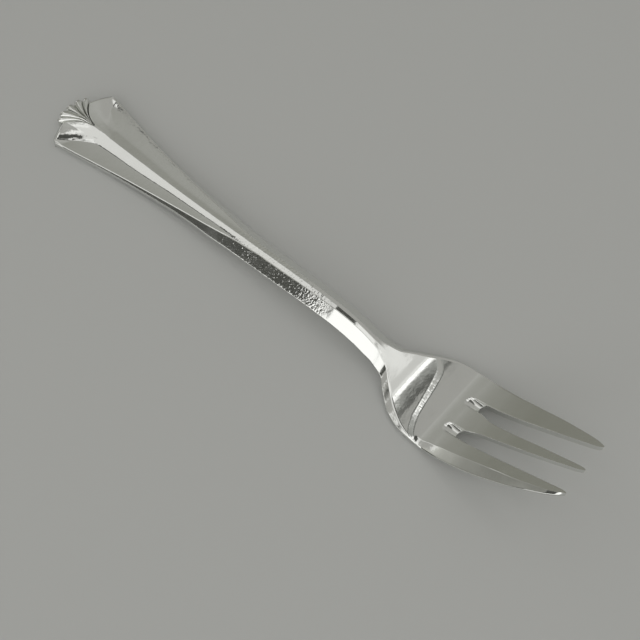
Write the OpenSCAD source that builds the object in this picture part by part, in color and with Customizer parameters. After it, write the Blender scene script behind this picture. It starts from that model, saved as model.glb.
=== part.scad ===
// Three-tined pastry fork struck from one blank: coffin-ended handle with a raised spine,
// sunk side panels and a five-lobed shell, a ridged stem, and a head whose right tine is bevelled.
// X runs from the handle's end to the tips, +Y is the left side and +Z is the decorated face.
// Every part is a loft whose sections come from the same functions, so neighbours meet face to face.

/* [Lengths] */
// From the shell's end to where the sunk panels close
handle_l = 66; // [58:0.5:76]
// From there to the narrowest place behind the head
stem_l = 31; // [26:0.5:40]
// From there to the palm's joint
shoulder_l = 8; // [7:0.5:12]
// From the palm's joint to the roots of the tines
palm_l = 19.6; // [18:0.1:24]
// Plan length of the tines
tine_l = 22.8; // [18:0.1:28]

/* [Widths] */
// Across the two corners of the handle's end
end_w = 18.9; // [16:0.1:22]
// Across the rims where the panels close
close_w = 2.5; // [2:0.1:3.2]
// Top of the stem at the neck
stem_top_w = 1.6; // [1.3:0.1:2]
// Stem across its lower edges
stem_w = 6.3; // [5.2:0.1:7.4]
// Head across its widest place
head_w = 21; // [19:0.1:24]
// Between the middles of the two slots
slot_spacing = 7.3; // [6.8:0.1:8]
// Slot at its round end
slot_w = 2.3; // [1.8:0.1:2.6]
// Between the tips of neighbouring tines
tip_spacing = 5.95; // [5.2:0.05:6.4]
// Middle tine just behind its round nose
middle_tip_w = 0.7; // [0.6:0.05:1.2]
// Outer tines just behind their round noses
outer_tip_w = 0.8; // [0.7:0.05:1.4]
// Bevel of the cutting tine at its widest
bevel_w = 2.3; // [1.6:0.1:2.8]

/* [Heights] */
// Rim of the handle's end above the table
end_h = 2; // [1.6:0.05:2.6]
// Top face at the arch of the stem
arch_h = 7.65; // [5.5:0.05:10]
// Thickness of the stem at the arch
stem_t = 3.1; // [2.6:0.05:3.8]
// Thickness of the palm
palm_t = 1.7; // [1.4:0.05:2.2]
// Upright thickness of the tines at their tips
tip_t = 1.4; // [1.1:0.05:1.8]
// Rise of the tips above the palm
tip_rise = 17.2; // [11:0.1:20]
// Rise of the spine over the width of one slope
crest_h = 0.7; // [0.45:0.05:0.9]
// Depth of the sunk panels below the rims
panel_d = 0.3; // [0.1:0.05:0.4]
// Drop of the bevel at the cutting edge
bevel_d = 0.75; // [0.4:0.05:0.95]
// Step where the shoulder meets the palm
step_h = 0.17; // [0.1:0.01:0.3]

/* [Handle end] */
// Corners of the end behind the shell's end
corner_l = 5.7; // [5:0.1:7]
// Notches beside the shell behind its end
notch_l = 2.9; // [2.2:0.1:3.6]
// Across the two notches
notch_w = 8.6; // [7.4:0.1:9.6]
// Tail of the shell behind its end
tail_l = 9.5; // [8:0.1:11]
// Width of the spine's slope on each side where it leaves the end
slope_w = 2.75; // [2.2:0.05:3.3]
// Width of the raised rims
rim_w = 0.45; // [0.3:0.05:0.6]
// Height of the shell's ribs above the border
rib_h = 1; // [0.5:0.05:1.2]

/* [Hidden] */

// Places along the fork, measured from the shell's end
neck_x = handle_l + stem_l;
palm_x = neck_x + shoulder_l;
root_x = palm_x + palm_l;
fork_l = root_x + tine_l;
// The arch lies behind the neck, and the heel ahead of the palm's joint
arch_back = 9;
arch_x = neck_x - arch_back;
heel_ahead = 9;
heel_x = palm_x + heel_ahead;
// The head is at full width this far ahead of the palm's joint
full_ahead = 14;
full_x = palm_x + full_ahead;
// The end's flare settles into the straight spine here
flare_l = 15;
// The step across the palm: where it starts, its length, and how the rows of the palm lean and
// bend along it and straighten out again
step_ahead = 7.4;
step_l = 1.6;
step_lean_share = 0.2;
step_bend_share = 0.315;
step_straight = 4.5;
step_relax = 7.5;
// The lead-in grooves of the slots start this far behind the roots
groove_l = 4.3;
groove_start_d = 0.25;
groove_d = 0.95;
// The bevel starts this far ahead of the palm's joint and is full a little further on
bevel_ahead = 11.5;
bevel_run = 3.5;
// Round noses of the tines
nose_l = 1.6;
// Where the side wall turns under: below the rim, at the handle, the stem and the head
handle_side_d = 1.5;
stem_side_d = 2.2;
head_side_d = 1.25;
// How far the lower edge is rounded up and in
handle_edge_lift = 0.15;
wide_flat_share = 0.75;
slender_flat_share = 0.2;
stem_edge_lift = 0.55;
head_edge_lift = 0.2;
handle_edge_in = 0.35;
head_edge_in = 0.15;
// Facet along the top of the side wall: its slope, its least depth and reach, and the least wall below
facet_slope = 0.94;
facet_d = 0.12;
facet_out = 0.08;
wall_d = 0.12;
// Slopes of the spine and the stem, and how shallow the panels get where they are narrow
slope_rise = crest_h / slope_w;
panel_share = 0.06;
// The border of the handle's end: its height over the rim, and its dropped outer edge
border_h = 0.65;
border_corner_share = 0.2;
border_drop = 0.25;
// Dish across the shoulder
dish_d = 0.1;
// Half width of the shell's tail
tail_half = 0.3;
// Shell lobes
lobe_count = 5;
lobe_steps = 6;
lobe_bulge = 0.95;

// Columns across half a section: axis, seven along the shell, two along the end, the slope's foot,
// the panel's middle, the rim's inner foot, its inner edge and the outer edge
axis_col = 0;
foot_col = 10;
panel_col = 11;
rim_foot_col = 12;
rim_top_col = 13;
edge_col = 14;
slot_in_col = 3;
slot_out_col = 7;
bevel_col = 11;
shell_cols = 7;

// Outline and profile, in shares of the lengths and widths that they follow
taper_shares = [
    [0, 1], [0.08, 0.905], [0.18, 0.772], [0.28, 0.643], [0.37, 0.535],
    [0.46, 0.44], [0.6, 0.305], [0.74, 0.187], [0.9, 0.047], [1, 0]
];
spread_shares = [
    [0, 0.03], [0.27, 0.1], [0.4, 0.17], [0.57, 0.28], [0.69, 0.45], [0.79, 0.68], [0.95, 0.9], [1, 0.94]
];
slope_shares = [
    [0, 1], [0.06, 0.93], [0.19, 0.85], [0.32, 0.71], [0.44, 0.57], [0.57, 0.5], [0.7, 0.43], [1, 0.23]
];
flare_shares = [
    [0, 0], [0.11, 0.026], [0.2, 0.097], [0.29, 0.18], [0.38, 0.354], [0.47, 0.518],
    [0.56, 0.682], [0.66, 0.82], [0.75, 0.913], [0.86, 0.972], [1, 1]
];
gather_shares = [
    [0, 1], [0.12, 0.9], [0.25, 0.74], [0.4, 0.69], [0.5, 0.66], [0.62, 0.48], [0.8, 0.2], [1, 0]
];
plain_edge_shares = [
    [0, 1], [0.1, 0.967], [0.21, 0.9], [0.35, 0.813], [0.46, 0.747], [0.56, 0.648],
    [0.67, 0.538], [0.77, 0.396], [0.88, 0.23], [1, 0]
];
bevel_edge_shares = [
    [0, 1], [0.1, 1], [0.21, 0.967], [0.35, 0.912], [0.46, 0.846], [0.56, 0.758],
    [0.67, 0.648], [0.77, 0.484], [0.88, 0.297], [1, 0]
];
middle_edge_shares = [
    [0, 1], [0.13, 0.62], [0.28, 0.5], [0.41, 0.43], [0.58, 0.34], [0.74, 0.22], [1, 0]
];
bevel_shares = [
    [0, 0.3], [0.06, 0.45], [0.13, 0.72], [0.22, 0.9], [0.33, 0.98], [0.45, 1],
    [0.58, 0.9], [0.68, 0.72], [0.8, 0.48], [0.9, 0.28], [1, 0.15]
];
rise_shares = [
    [0, 0], [0.15, 0.044], [0.28, 0.106], [0.42, 0.22], [0.56, 0.39], [0.69, 0.575],
    [0.81, 0.77], [0.92, 0.938], [1, 1]
];
under_rise_shares = [
    [0, 0], [0.2, 0], [0.3, 0.085], [0.42, 0.2], [0.56, 0.38], [0.69, 0.57],
    [0.81, 0.75], [0.92, 0.93], [1, 1]
];
fall_shares = [
    [0, 0], [0.13, 0.035], [0.25, 0.122], [0.35, 0.262], [0.48, 0.455], [0.59, 0.62],
    [0.7, 0.79], [0.79, 0.93], [0.83, 0.955], [0.94, 0.993], [1, 1]
];
tine_rise_shares = [
    [0, 0], [0.09, 0], [0.22, 0.058], [0.36, 0.17], [0.52, 0.35], [0.66, 0.535], [0.82, 0.753], [1, 1]
];
// Points of the end's outline between notch and corner: share of the way across, share of the way back
corner_shares = [
    [0.33, 0.2], [0.7, 0.54], [0.89, 0.76], [0.94, 0.85], [0.97, 0.91], [0.99, 0.96], [1, 1.06]
];
// Rows of the flare and of each straight stretch
flare_row_shares = [0, 0.05, 0.12, 0.2, 0.3, 0.42, 0.56, 0.7, 0.85, 1];
handle_row_shares = [0.06, 0.14, 0.23, 0.33, 0.44, 0.56, 0.68, 0.8, 0.9, 1];
stem_row_shares = [0, 0.12, 0.26, 0.42, 0.58, 0.71, 0.8, 0.9, 1];
shoulder_row_shares = [0, 0.15, 0.3, 0.45, 0.6, 0.75, 0.88, 1];
palm_row_shares = [
    0, 0.077, 0.153, 0.214, 0.276, 0.33, 0.378, 0.406, 0.434,
    0.51, 0.612, 0.714, 0.783, 0.806, 0.842, 0.913, 1
];
tine_row_shares = [0, 0.1, 0.2, 0.32, 0.44, 0.56, 0.68, 0.78, 0.86, 0.925];
nose_row_shares = [0.35, 0.65, 0.88, 1];
nose_blunt_share = 0.25;
shell_row_shares = [0, 1, 2, 3, 4, 5, 6] / 6;
rib_row_shares = [0.03, 0.09];

function lerp(a, b, t) = a + (b - a) * t;
function clamp01(t) = min(1, max(0, t));
function ease(t) = let (c = clamp01(t)) c * c * (3 - 2 * c);

// Smooth curve through a table of points, with no overshoot
function secant(t, i) = (t[i + 1][1] - t[i][1]) / (t[i + 1][0] - t[i][0]);
function tangent(t, i) =
    i == 0 ? secant(t, 0)
    : i == len(t) - 1 ? secant(t, i - 1)
    : let (a = secant(t, i - 1), b = secant(t, i)) a * b <= 0 ? 0 : 2 * a * b / (a + b);
function hermite(t, i, x) =
    let (w = t[i + 1][0] - t[i][0], u = (x - t[i][0]) / w)
    t[i][1] * (1 + 2 * u) * pow(1 - u, 2) + tangent(t, i) * w * u * pow(1 - u, 2)
    + t[i + 1][1] * u * u * (3 - 2 * u) - tangent(t, i + 1) * w * u * u * (1 - u);
function curve(t, x) =
    x <= t[0][0] ? t[0][1]
    : x >= t[len(t) - 1][0] ? t[len(t) - 1][1]
    : hermite(t, max([for (i = [0 : len(t) - 2]) if (t[i][0] <= x) i]), x);

// Top face without its relief, and underside along the axis
function top_z(x) =
    x <= arch_x ? lerp(end_h, arch_h, curve(rise_shares, x / arch_x))
    : x <= heel_x ? lerp(arch_h, palm_t, curve(fall_shares, (x - arch_x) / (heel_x - arch_x)))
    : palm_t + tip_rise * curve(tine_rise_shares, (x - heel_x) / (fork_l - heel_x));
function under_z(x) =
    x <= arch_x ? (arch_h - stem_t) * curve(under_rise_shares, x / arch_x)
    : x <= heel_x ? (arch_h - stem_t) * (1 - curve(fall_shares, (x - arch_x) / (heel_x - arch_x)))
    : top_z(x) - lerp(palm_t, tip_t, (x - heel_x) / (fork_l - heel_x));

// Half width at the rim: side is 1 on the left and -1 on the bevelled right
function handle_share(x) = clamp01((x - corner_l) / (handle_l - corner_l));
function shoulder_share(x) = clamp01((x - neck_x) / (full_x - neck_x));
function head_share(x) = clamp01((x - full_x) / (fork_l - full_x));
function edge_y(x, side) =
    x <= handle_l ? lerp(close_w, end_w, curve(taper_shares, handle_share(x))) / 2
    : x <= neck_x ? lerp(close_w, stem_top_w, ease((x - handle_l) / stem_l)) / 2
    : x <= full_x ? lerp(stem_top_w, head_w, curve(flare_shares, shoulder_share(x))) / 2
    : let (table = side > 0 ? plain_edge_shares : bevel_edge_shares, tip = tip_spacing + outer_tip_w / 2)
      lerp(tip, head_w / 2, curve(table, head_share(x)));
// How far the lower edge stands outside the rim
function spread(x) =
    (stem_w - stem_top_w) / 2 * (
        x <= handle_l ? curve(spread_shares, handle_share(x))
        : x <= neck_x ? lerp(spread_shares[len(spread_shares) - 1][1], 1, (x - handle_l) / stem_l)
        : curve(gather_shares, shoulder_share(x))
    );
// 1 along the slender stem, falling to 0 at the wide handle and the head
function slender(x) =
    x <= neck_x ? ease((x - handle_l / 2) / (handle_l / 2)) : 1 - ease(shoulder_share(x));
function side_d(x) = lerp(x <= neck_x ? handle_side_d : head_side_d, stem_side_d, slender(x));
function edge_lift(x) = lerp(x <= neck_x ? handle_edge_lift : head_edge_lift, stem_edge_lift, slender(x));
// The underside is flat in the middle and rises to its edges: share is 0 on the axis and 1 at the edge
function under_lift(x, share) =
    let (flat = lerp(wide_flat_share, slender_flat_share, slender(x)))
    edge_lift(x) * pow(clamp01((share - flat) / (1 - flat)), 2);

// Slots and tines
function tine_share(x) = clamp01((x - root_x) / tine_l);
function slot_in_y(x) =
    lerp(middle_tip_w / 2, (slot_spacing - slot_w) / 2, curve(middle_edge_shares, tine_share(x)));
function slot_out_y(x) =
    lerp((slot_spacing + slot_w) / 2, tip_spacing - outer_tip_w / 2, pow(tine_share(x), 1.5));
function slot_place(j) = (j - slot_in_col) / (slot_out_col - slot_in_col) * 2 - 1;
function in_slot(j) = j > slot_in_col && j < slot_out_col;
function slot_depth(j) = in_slot(j) ? sqrt(1 - pow(slot_place(j), 2)) : 0;
function bevel_y(x) =
    bevel_w * curve(bevel_shares, clamp01((x - palm_x - bevel_ahead) / (fork_l - palm_x - bevel_ahead)));
function bevel_drop(x) =
    let (shallow = lerp(1, 0.6, ease((tine_share(x) - 0.7) / 0.3)))
    bevel_d * ease((x - palm_x - bevel_ahead) / bevel_run) * shallow;

// Places of the columns across half the head, and across half the handle and stem
function head_col_y(x, j, side) =
    let (edge = edge_y(x, side), b = min(bevel_y(x), edge - slot_out_y(x) - rim_w))
    j <= slot_in_col ? slot_in_y(x) * j / slot_in_col
    : j <= slot_out_col ? lerp(slot_in_y(x), slot_out_y(x), (slot_place(j) + 1) / 2)
    : j <= bevel_col ? lerp(slot_out_y(x), edge - b, (j - slot_out_col) / (bevel_col - slot_out_col))
    : edge - b * [1, 0.5, 0.1, 0][j - bevel_col];
function foot_y(x) =
    x <= handle_l ? slope_w * curve(slope_shares, (x - flare_l) / (handle_l - flare_l))
    : lerp(slope_w * slope_shares[len(slope_shares) - 1][1], stem_top_w / 4, ease((x - handle_l) / stem_l));
function rim_in_y(x) = edge_y(x, 1) - min(rim_w, edge_y(x, 1) * 0.3);
function handle_col_y(x, j) =
    j <= foot_col ? foot_y(x) * j / foot_col
    : j == panel_col ? (foot_y(x) + rim_in_y(x)) / 2
    : j == rim_foot_col ? rim_in_y(x)
    : j == rim_top_col ? lerp(rim_in_y(x), edge_y(x, 1), 0.45)
    : edge_y(x, 1);
function col_y(x, j, side) =
    let (t = ease((x - neck_x) / (full_x - neck_x)), edge = edge_y(x, side))
    t <= 0 ? handle_col_y(x, j)
    : t >= 1 ? head_col_y(x, j, side)
    : edge * lerp(handle_col_y(neck_x, j) / edge_y(neck_x, side),
                  head_col_y(full_x, j, side) / edge_y(full_x, side), t);

// Relief over the top face: spine, slope, sunk panel and rim, or the plain roof of the stem
function roof_relief(x, j) = slope_rise * (edge_y(x, 1) - handle_col_y(x, j));
function panel_relief(x, j) =
    let (
        y = handle_col_y(x, j),
        foot = foot_y(x),
        open = edge_y(x, 1) - foot,
        depth = min(panel_d, panel_share * open)
    )
    slope_rise * max(0, foot - y) - depth * (1 - pow(clamp01((y - foot) / open), 2));
function handle_relief(x, j) =
    lerp(roof_relief(x, j), panel_relief(x, j), ease((handle_l - x) / (handle_l * 0.25)));
function shoulder_relief(x, j, side) =
    let (
        t = shoulder_share(x),
        ridge = roof_relief(neck_x, j) * (1 - ease(t * 3)),
        across = col_y(x, j, side) / edge_y(x, side),
        bowl = dish_d * across * across * ease(t * 3) * (1 - ease(t * 1.6 - 0.6))
    )
    ridge + bowl + step_h * ease(t * 2.5);
function bevel_relief(x, j, side) =
    side < 0 && j > bevel_col ? -bevel_drop(x) * [0, 0.5, 0.9, 1][j - bevel_col] : 0;

// Top and underside points of a section at x, by column
function col_top(x, j, side) =
    [x, side * col_y(x, j, side), top_z(x)
        + (x <= neck_x ? handle_relief(x, j)
           : x <= full_x ? shoulder_relief(x, j, side) + bevel_relief(x, j, side)
           : bevel_relief(x, j, side))];
function edge_in(x) = lerp(handle_edge_in, head_edge_in, ease(shoulder_share(x)));
function under_half(x, side) = edge_y(x, side) + spread(x) - edge_in(x);
function col_under(x, j, side) =
    let (share = col_y(x, j, side) / edge_y(x, side))
    [x, side * share * under_half(x, side), under_z(x) + under_lift(x, share)];
// Points down the side: the foot of the facet, and the turn of the upright wall to the underside
function side_points(x, side, rim, top) =
    let (
        out = max(facet_out, spread(x)),
        facet = top - min(side_d(x), max(facet_d, facet_slope * spread(x))),
        turn = min(facet - wall_d, max(top_z(x) - side_d(x), under_z(x) + edge_lift(x)))
    )
    [[x, side * (rim + out), facet], [x, side * (rim + out), turn]];
function col_side(x, side) = side_points(x, side, edge_y(x, side), top_z(x));

function reversed(list) = [for (i = [len(list) - 1 : -1 : 0]) list[i]];
// A section is a ring: the top from right to left, the left side, the underside back, the right side
function ring(top_r, top_l, side_l, under_l, under_r, side_r) =
    concat(
        [for (j = [len(top_r) - 1 : -1 : 1]) top_r[j]], top_l, side_l,
        [for (j = [len(under_l) - 1 : -1 : 1]) under_l[j]], under_r, reversed(side_r)
    );
function plain_ring(x) = ring(
    [for (j = [0 : edge_col]) col_top(x, j, -1)], [for (j = [0 : edge_col]) col_top(x, j, 1)],
    col_side(x, 1),
    [for (j = [0 : edge_col]) col_under(x, j, 1)], [for (j = [0 : edge_col]) col_under(x, j, -1)],
    col_side(x, -1)
);

// Closed solid through a list of rings. Each end is closed by strips between top and underside,
// so an end may be curved in plan. top_n counts the points on the top, and wall_n those on the left wall
function quad(a, b, c, d) = [[a, b, c], [a, c, d]];
function turned(faces) = [for (f = faces) [f[2], f[1], f[0]]];
function strip_faces(rings, n) = [
    for (i = [0 : rings - 2], j = [0 : n - 1])
        each quad(i * n + j, i * n + (j + 1) % n, (i + 1) * n + (j + 1) % n, (i + 1) * n + j)
];
function cap_faces(base, n, top_n, wall_n) =
    let (under = base + 2 * top_n + wall_n - 1)
    concat(
        [for (j = [0 : top_n - 2]) each quad(base + j, base + j + 1, under - j - 1, under - j)],
        [for (k = [0 : 1 : wall_n - 1]) [base + top_n - 1, base + top_n + k, base + top_n + k + 1]],
        n > 2 * top_n + wall_n ? [for (k = [0 : wall_n - 1]) [base, under + k, under + k + 1]] : []
    );
module loft(rings, top_n, wall_n) {
    n = len(rings[0]);
    last = (len(rings) - 1) * n;
    polyhedron(
        points = [for (r = rings, p = r) p],
        faces = concat(
            strip_faces(len(rings), n),
            turned(cap_faces(0, n, top_n, wall_n)),
            cap_faces(last, n, top_n, wall_n)
        ),
        convexity = 6
    );
}

// Plan of the handle's end: the shell's bay, the notch, the end edge and the corner
function bezier(a, b, c, t) = a * pow(1 - t, 2) + b * 2 * t * (1 - t) + c * t * t;
function bay_knot(k) =
    let (turn = [lerp(notch_l, tail_l, 0.36), notch_w * 0.1])
    bezier([notch_l, notch_w / 2], turn, [tail_l, tail_half], k / (shell_cols - 1));
function bay_point(t) =
    let (u = clamp01(t) * (shell_cols - 1), k = min(shell_cols - 2, floor(u)))
    lerp(bay_knot(k), bay_knot(k + 1), u - k);
function end_point(j) =
    j == axis_col ? [tail_l, 0]
    : j <= shell_cols ? bay_knot(shell_cols - j)
    : let (s = corner_shares[j - shell_cols - 1])
      [lerp(notch_l, corner_l, s[1]), lerp(notch_w / 2, end_w / 2, s[0])];
// Plan place of a column on the way from the end's outline, t of 0, to the straight spine, t of 1
function flare_place(j, t) =
    let (p = end_point(j), y = handle_col_y(flare_l, j))
    j <= foot_col ? bezier(p, [lerp(p[0], flare_l, 0.72), y], [flare_l, y], t)
    : j == panel_col ? (flare_place(foot_col, t) + flare_place(rim_foot_col, t)) / 2
    : let (x = lerp(p[0], flare_l, t), rim = edge_y(x, 1), start = edge_y(p[0], 1) - p[1])
      [x, rim - lerp(start, edge_y(flare_l, 1) - y, clamp01(t / 0.12))];
function flare_relief(j, t) =
    t <= 0 ? -border_drop
    : let (
        run = lerp(0.95, 0.2, pow(min(1, j / foot_col), 3)),
        down = 1 - pow(1 - clamp01((t - flare_row_shares[1]) / run), 1.2),
        low = lerp(1, border_corner_share, ease((j - shell_cols) / 4)),
        crest = border_h * low * [1, 0.5, 0][max(0, j - rim_foot_col)]
    )
    lerp(crest, panel_relief(flare_l, j), down);
function flare_top(j, side, t) =
    let (p = flare_place(j, t)) [p[0], side * p[1], top_z(p[0]) + flare_relief(j, t)];
function flare_under(j, side, t) =
    let (
        p = t <= 0 ? flare_place(j, 0) : flare_place(j, t),
        share = p[1] / edge_y(p[0], 1),
        far = under_half(p[0], 1),
        lift = t <= 0 ? handle_edge_lift : under_lift(p[0], share)
    )
    [p[0], side * (t <= 0 ? p[1] : share * far), under_z(p[0]) + lift];
function flare_side(side, t) =
    let (p = flare_place(edge_col, t), top = flare_top(edge_col, side, t))
    side_points(p[0], side, p[1], min(top[2], top_z(p[0])));
function flare_ring(t) = ring(
    [for (j = [0 : edge_col]) flare_top(j, -1, t)], [for (j = [0 : edge_col]) flare_top(j, 1, t)],
    flare_side(1, t),
    [for (j = [0 : edge_col]) flare_under(j, 1, t)], [for (j = [0 : edge_col]) flare_under(j, -1, t)],
    flare_side(-1, t)
);

top_n = 2 * edge_col + 1;
wall_n = 2;

// The fork stands on the middle of its length
module on_frame() {
    translate([-fork_l / 2, 0, 0]) children();
}

// Handle with its flared end, spine, sunk panels and rims
module handle() {
    rows = [for (s = handle_row_shares) lerp(flare_l, handle_l, s)];
    rings = concat([for (t = flare_row_shares) flare_ring(t)], [for (x = rows) plain_ring(x)]);
    color([0.8, 0.8, 0.79]) on_frame() loft(rings, top_n, wall_n);
}

// Stem with a ridged top and sloping sides
module stem() {
    color([0.76, 0.76, 0.75]) on_frame()
        loft([for (s = stem_row_shares) plain_ring(lerp(handle_l, neck_x, s))], top_n, wall_n);
}

// Shoulder, where the stem dips and spreads into the head
module shoulder() {
    color([0.84, 0.84, 0.83]) on_frame()
        loft([for (s = shoulder_row_shares) plain_ring(lerp(neck_x, palm_x, s))], top_n, wall_n);
}

// Rows of the palm lean along the step and end round the slots
function step_lift(x) = -step_h * ease((x - palm_x - step_ahead) / step_l);
function palm_x_at(x, j, side) =
    let (
        past = x - palm_x - step_ahead,
        lean = ease(past / step_ahead + 1) * (1 - ease((past - step_l) / step_relax)),
        y = col_y(x, j, side),
        beyond = max(0, y - step_straight),
        line = step_lean_share * y + step_bend_share * beyond * beyond / step_straight,
        notch = slot_w / 2 * slot_depth(j) * ease((x - full_x) / (root_x - full_x))
    )
    x - side * lean * line - notch;
function groove(x, j) =
    let (
        past = x - root_x + groove_l,
        back = max(0, 1 - 2 * past / slot_w),
        depth = lerp(groove_start_d, groove_d, past / groove_l)
    )
    in_slot(j) && past > 0 ? -depth * sqrt(max(0, 1 - pow(slot_place(j), 2) - pow(back, 2))) : 0;
function palm_top(x, j, side) =
    let (place = palm_x_at(x, j, side))
    [place, side * col_y(place, j, side), top_z(place) + shoulder_relief(place, j, side)
        + bevel_relief(place, j, side) + step_lift(x) + groove(x, j)];
function palm_under(x, j, side) = col_under(palm_x_at(x, j, side), j, side);
function palm_side(x, side) = col_side(palm_x_at(x, edge_col, side), side);
function palm_ring(x) = ring(
    [for (j = [0 : edge_col]) palm_top(x, j, -1)], [for (j = [0 : edge_col]) palm_top(x, j, 1)],
    palm_side(x, 1),
    [for (j = [0 : edge_col]) palm_under(x, j, 1)], [for (j = [0 : edge_col]) palm_under(x, j, -1)],
    palm_side(x, -1)
);

// Flat palm behind the tines, with the lead-in grooves of the slots
module palm() {
    color([0.74, 0.75, 0.75]) on_frame()
        loft([for (s = palm_row_shares) palm_ring(lerp(palm_x, root_x, s))], top_n, wall_n);
}

// Tines: rows along the tine and round its nose. At the nose the columns gather on the tip
function nose_share(x) =
    let (past = max(0, x - (fork_l - nose_l)) / nose_l)
    max(nose_blunt_share, sqrt(max(0, 1 - past * past)));
function gathered(p, tip_y) = [p[0], lerp(tip_y, p[1], nose_share(p[0])), p[2]];
tine_rows = concat(
    [for (s = tine_row_shares) root_x + tine_l * s],
    [for (s = nose_row_shares) fork_l - nose_l * (1 - s)]
);
function outer_ring(x, side) =
    let (
        tip_y = side * tip_spacing,
        top = [for (j = [slot_out_col : edge_col]) gathered(col_top(x, j, side), tip_y)],
        under = [for (j = [edge_col : -1 : slot_out_col]) gathered(col_under(x, j, side), tip_y)],
        wall = [for (p = col_side(x, side)) gathered(p, tip_y)]
    )
    concat(top, wall, under);
module outer_tine(side) {
    rings = [for (x = tine_rows) outer_ring(x, side)];
    color([0.7, 0.71, 0.71]) on_frame()
        loft(side > 0 ? rings : reversed(rings), edge_col - slot_out_col + 1, wall_n);
}
module left_tine() {
    outer_tine(1);
}
// Cutting tine: its outer edge is bevelled
module right_tine() {
    outer_tine(-1);
}

function middle_ring(x) =
    let (
        cols = [for (k = [-slot_in_col : slot_in_col]) k],
        top = [for (k = cols) gathered(col_top(x, abs(k), k < 0 ? -1 : 1), 0)],
        under = [for (k = cols) gathered(col_under(x, abs(k), k < 0 ? 1 : -1), 0)]
    )
    concat(top, under);
module middle_tine() {
    color([0.72, 0.73, 0.73]) on_frame()
        loft([for (x = tine_rows) middle_ring(x)], 2 * slot_in_col + 1, 0);
}

// Shell of five ribs that gather on its tail. a runs from -1 to 1 across it, t from its edge to its tail
lobes_n = lobe_count * lobe_steps;
function lobe_at(a) = let (u = (a + 1) / 2 * lobe_count) (u - floor(min(u, lobe_count - 0.001))) * 2 - 1;
function lobe_arc(a) = sqrt(max(0, 1 - pow(lobe_at(a), 2)));
function shell_edge(a) =
    let (
        base = [lerp(lobe_bulge, notch_l, pow(abs(a), 2.2)), notch_w / 2 * sin(a * 78) / sin(78)],
        reach = lobe_bulge * lobe_arc(a)
    )
    base + reach * [-cos(a * 62), sin(a * 62)];
function shell_place(a, t) =
    abs(a) > 0.999 ? let (p = bay_point(t)) [p[0], sign(a) * p[1]]
    : bezier(shell_edge(a), [lerp(notch_l, tail_l, 0.36), notch_w * 0.1 * a], [tail_l, tail_half * a], t);
function shell_top(a, t) =
    let (
        p = shell_place(a, t),
        along = lerp(0.6, 1, ease(t / 0.09)) * (1 - ease((t - 0.55) / 0.45)),
        rib = rib_h * (0.3 + 0.7 * lobe_arc(a)) * along,
        rise = (border_h + border_drop) * ease((t - 0.4) / 0.6)
    )
    [p[0], p[1], top_z(p[0]) - border_drop + (abs(a) > 0.999 ? 0 : rib + rise * (1 - abs(a)))];
function shell_under(a, t) =
    let (p = shell_place(a, t)) [p[0], p[1], under_z(p[0]) + handle_edge_lift];
shell_rows = [0, rib_row_shares[0], rib_row_shares[1], for (i = [1 : 6]) shell_row_shares[i]];
module shell() {
    places = [for (i = [0 : lobes_n]) -1 + 2 * i / lobes_n];
    back = reversed(places);
    rings = [
        for (t = shell_rows) concat([for (a = places) shell_top(a, t)], [for (a = back) shell_under(a, t)])
    ];
    color([0.86, 0.86, 0.84]) on_frame() loft(rings, lobes_n + 1, 0);
}

shell();
handle();
stem();
shoulder();
palm();
left_tine();
middle_tine();
right_tine();
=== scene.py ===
"""Pastry fork: one struck and silver plated blank, shown as eight regions of it.

Metres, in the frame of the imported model: +X to the tips, +Y to the left, +Z up.
"""

import math

import bmesh
import bpy
from mathutils import Matrix, Vector


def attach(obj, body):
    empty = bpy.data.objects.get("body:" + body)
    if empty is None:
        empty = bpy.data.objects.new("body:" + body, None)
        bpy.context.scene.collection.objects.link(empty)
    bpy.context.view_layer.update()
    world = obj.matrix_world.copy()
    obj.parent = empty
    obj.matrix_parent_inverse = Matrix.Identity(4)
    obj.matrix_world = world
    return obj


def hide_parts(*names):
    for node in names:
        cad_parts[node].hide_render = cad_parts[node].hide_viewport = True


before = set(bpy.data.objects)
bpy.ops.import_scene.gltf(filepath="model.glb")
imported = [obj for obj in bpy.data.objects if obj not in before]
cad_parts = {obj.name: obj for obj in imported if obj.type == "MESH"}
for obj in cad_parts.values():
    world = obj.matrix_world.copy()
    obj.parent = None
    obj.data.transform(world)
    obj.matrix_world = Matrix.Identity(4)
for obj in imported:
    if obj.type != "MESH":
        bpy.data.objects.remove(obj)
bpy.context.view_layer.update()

# ---------------------------------------------------------------- camera
# The photo looks down at the fork at about 62 degrees, across it from the handle's near side,
# with a lens that is as long as a phone's 2x lens.
MM = 0.001
CAMERA_PLACE_MM = (78.1, -76.7, 187.1)
CAMERA_TURN = math.radians(41.98)
CAMERA_DOWN = math.radians(61.71)
CAMERA_ROLL = math.radians(0.16)

camera_data = bpy.data.cameras.new("camera")
camera_data.sensor_width = 36.0
camera_data.lens = 55.0
camera_data.clip_start = 0.005
camera_data.clip_end = 20.0
camera = bpy.data.objects.new("camera", camera_data)
camera.matrix_world = (
    Matrix.Translation(Vector(CAMERA_PLACE_MM) * MM)
    @ Matrix.Rotation(CAMERA_TURN, 4, "Z")
    @ Matrix.Rotation(math.pi / 2 - CAMERA_DOWN, 4, "X")
    @ Matrix.Rotation(CAMERA_ROLL, 4, "Z")
)
bpy.context.scene.collection.objects.link(camera)
bpy.context.scene.camera = camera

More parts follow.
